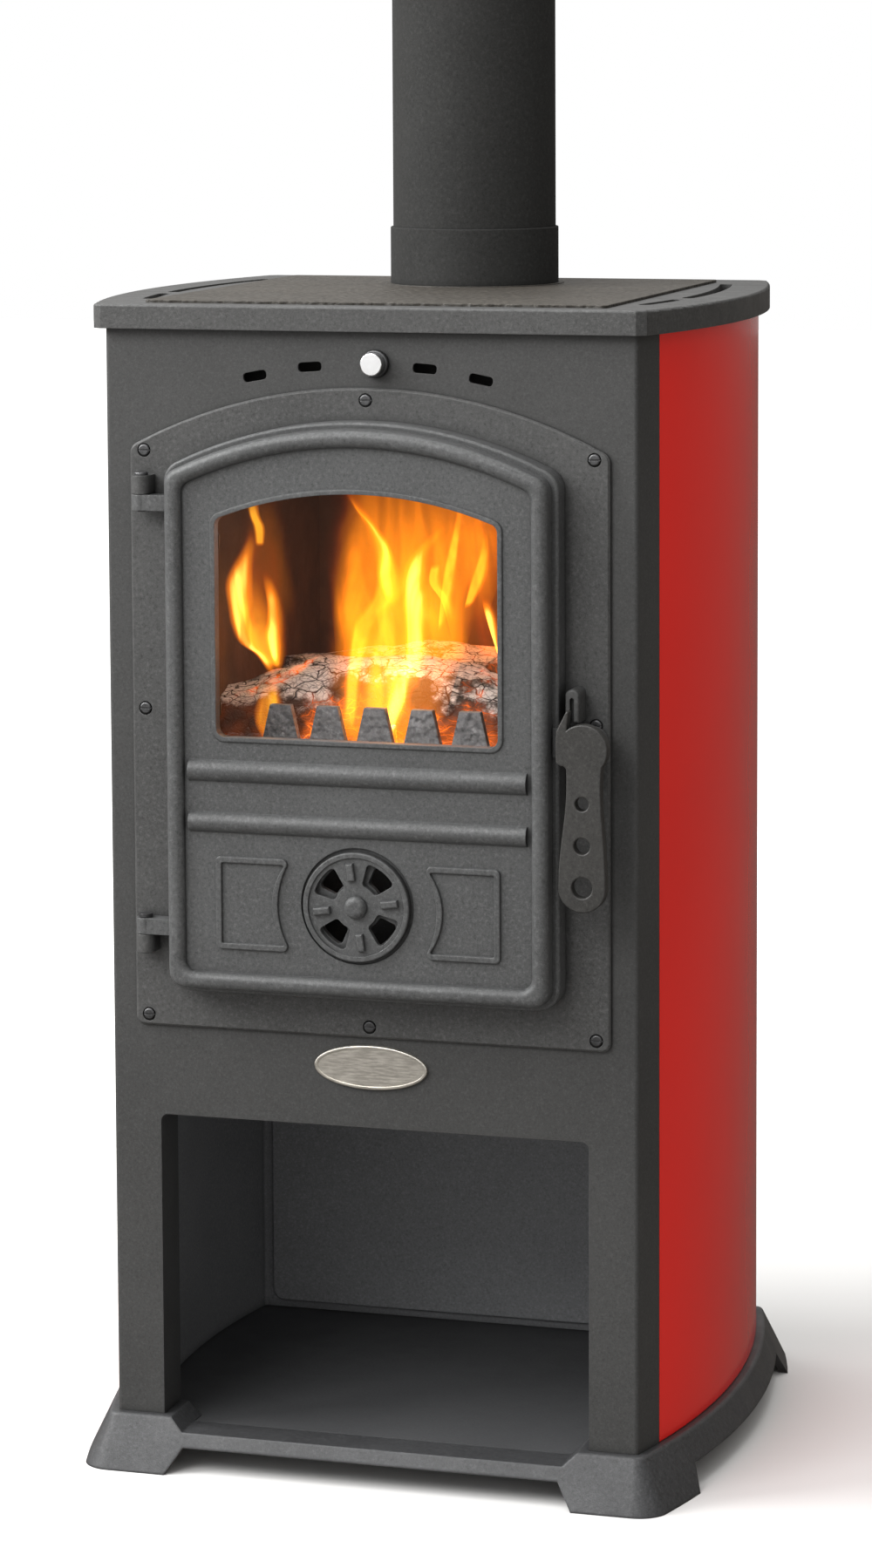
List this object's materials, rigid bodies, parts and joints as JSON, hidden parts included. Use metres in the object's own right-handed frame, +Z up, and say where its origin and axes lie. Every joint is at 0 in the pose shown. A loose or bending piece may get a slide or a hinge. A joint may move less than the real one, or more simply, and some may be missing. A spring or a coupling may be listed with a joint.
{
  "type": "wood burning stove",
  "caption": "Free-standing wood stove: arched glazed door over an open wood store, bulged enamelled sides, hob plate and top flue pipe.",
  "frame": {"origin": "on the floor, at the centre of the outline seen from above", "axes": "+X to the stove's right as seen from the front, -Y out of the front, +Z up"},
  "size_m": [0.4638, 0.437, 1.082],
  "materials": {
    "cast_body": "fine sand-cast grain, satin stove paint",
    "cast_door": "fine sand-cast grain, satin stove paint",
    "cast_hob": "coarse hammered cast grain, satin",
    "front_paint": "satin anthracite stove paint on sheet steel",
    "dark_paint": "matt black stove paint on sheet steel",
    "store_sheet": "matt black stove paint on sheet steel",
    "red_enamel": "glossy vitreous enamel on sheet steel",
    "flue_paint": "matt dark grey stove paint",
    "fire_steel": "heat-dulled black steel",
    "fire_iron": "raw cast iron, sooty",
    "firebrick": null,
    "fibre_rope": "braided heat-proof fibre",
    "stove_glass": "clear glass-ceramic, slightly warm",
    "dark_steel": "blackened steel",
    "zinc_steel": "dull zinc-plated steel",
    "lever_metal": "smooth cast iron, satin",
    "chrome_knob": "polished",
    "badge_metal": "brushed, warm tint, blank"
  },
  "bodies": {
    "stove": {"base_plinth": "cast_body", "base_bolts": "zinc_steel", "store_floor": "store_sheet", "store_liner": "store_sheet", "store_ceiling": "store_sheet", "front_panel": "front_paint", "side_panel_left": "red_enamel", "side_panel_right": "red_enamel", "rear_casing": "dark_paint", "rear_cover": "dark_paint", "rear_cover_screws": "zinc_steel", "top_plate": "cast_body", "hob_plate": "cast_hob", "flue_collar": "flue_paint", "flue_pipe": "flue_paint", "firebox_shell": "fire_steel", "grate_bed": "fire_iron", "grate": "fire_iron", "brick_left": "firebrick", "brick_right": "firebrick", "brick_rear": "firebrick", "baffle": "firebrick", "ash_pan": "dark_paint", "log_fence": "fire_iron", "door_frame": "cast_body", "frame_screws": "dark_steel", "hinge_pins": "dark_steel", "knob_bush": "dark_steel", "badge": "badge_metal"},
    "door": {"door": "cast_door", "door_rope": "fibre_rope", "door_glass": "stove_glass", "glass_gasket": "fibre_rope", "glass_clips": "dark_steel", "glass_clip_screws": "zinc_steel", "air_wheel_rivet": "cast_door"},
    "lever": {"latch_lever": "lever_metal", "lever_washer": "zinc_steel", "lever_screw": "zinc_steel"},
    "air_wheel": {"air_wheel": "cast_door"},
    "damper": {"damper_knob": "chrome_knob", "damper_rod": "dark_steel", "damper_plate": "fire_steel", "damper_nuts": "dark_steel"}
  },
  "joints": [
    {"name": "door_hinge", "type": "hinge", "parent": "stove", "child": "door", "pos_m": [-0.16, -0.1905, 0.54], "axis": [0, 0, -1], "range_deg": [0, 115]},
    {"name": "lever_turn", "type": "hinge", "parent": "door", "child": "lever", "pos_m": [0.162, -0.2145, 0.534], "axis": [0, -1, 0], "range_deg": [0, 55]},
    {"name": "air_wheel_turn", "type": "hinge", "parent": "door", "child": "air_wheel", "pos_m": [0, -0.2085, 0.416], "axis": [0, -1, 0], "range_deg": [-8, 37]},
    {"name": "damper_pull", "type": "slide", "parent": "stove", "child": "damper", "axis": [0, -1, 0], "range_m": [0, 0.05]}
  ]
}
